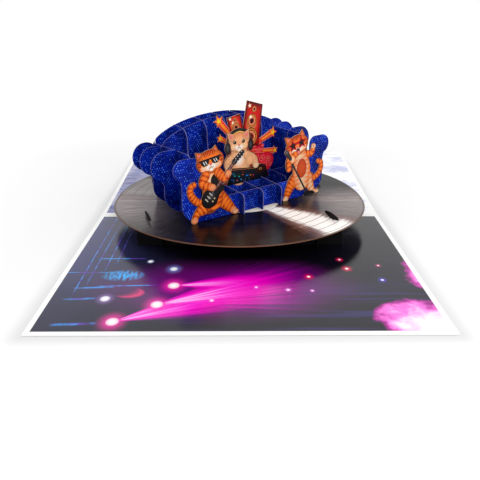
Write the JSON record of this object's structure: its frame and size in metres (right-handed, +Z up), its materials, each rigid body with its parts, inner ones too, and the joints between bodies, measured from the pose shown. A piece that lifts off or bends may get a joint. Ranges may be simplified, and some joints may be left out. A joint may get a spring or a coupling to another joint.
{
  "type": "pop up card",
  "caption": "Opened pop up card: a folded base card, a raised creased disc and an interlocking card sofa with cut-out figures",
  "frame": {"origin": "on the table under the front crease, half way along the fold", "axes": "X along the fold to the right, Y to the back panel, Z up"},
  "size_m": [0.19, 0.3087, 0.0772],
  "materials": {
    "card_print": "gloss laminated print",
    "disc_print": "gloss laminated print",
    "black_card": "matt black card",
    "sofa_card": "printed matt card",
    "figure_card": "printed gloss card",
    "burst_card": "printed gloss card"
  },
  "bodies": {
    "root": {"base_card": "card_print", "record_disc": "disc_print", "support_wall_front": "black_card", "support_wall_centre": "black_card", "support_wall_back": "black_card", "lug_wall_front_left": "black_card", "lug_wall_front_right": "black_card", "lug_wall_back_left": "black_card", "lug_wall_back_right": "black_card", "support_rib_left": "black_card", "support_rib_right": "black_card", "sofa_front_slice": "sofa_card", "sofa_seat_slice": "sofa_card", "sofa_back_slice": "sofa_card", "sofa_rear_slice": "sofa_card", "seat_rib_centre": "sofa_card", "seat_rib_left": "sofa_card", "side_rib_left": "sofa_card", "arm_wall_left": "sofa_card", "seat_rib_right": "sofa_card", "side_rib_right": "sofa_card", "arm_wall_right": "sofa_card", "guitar_cat_card": "figure_card", "singer_cat_card": "figure_card", "dj_kitten_card": "figure_card", "speaker_burst_card": "burst_card"}
  },
  "joints": []
}
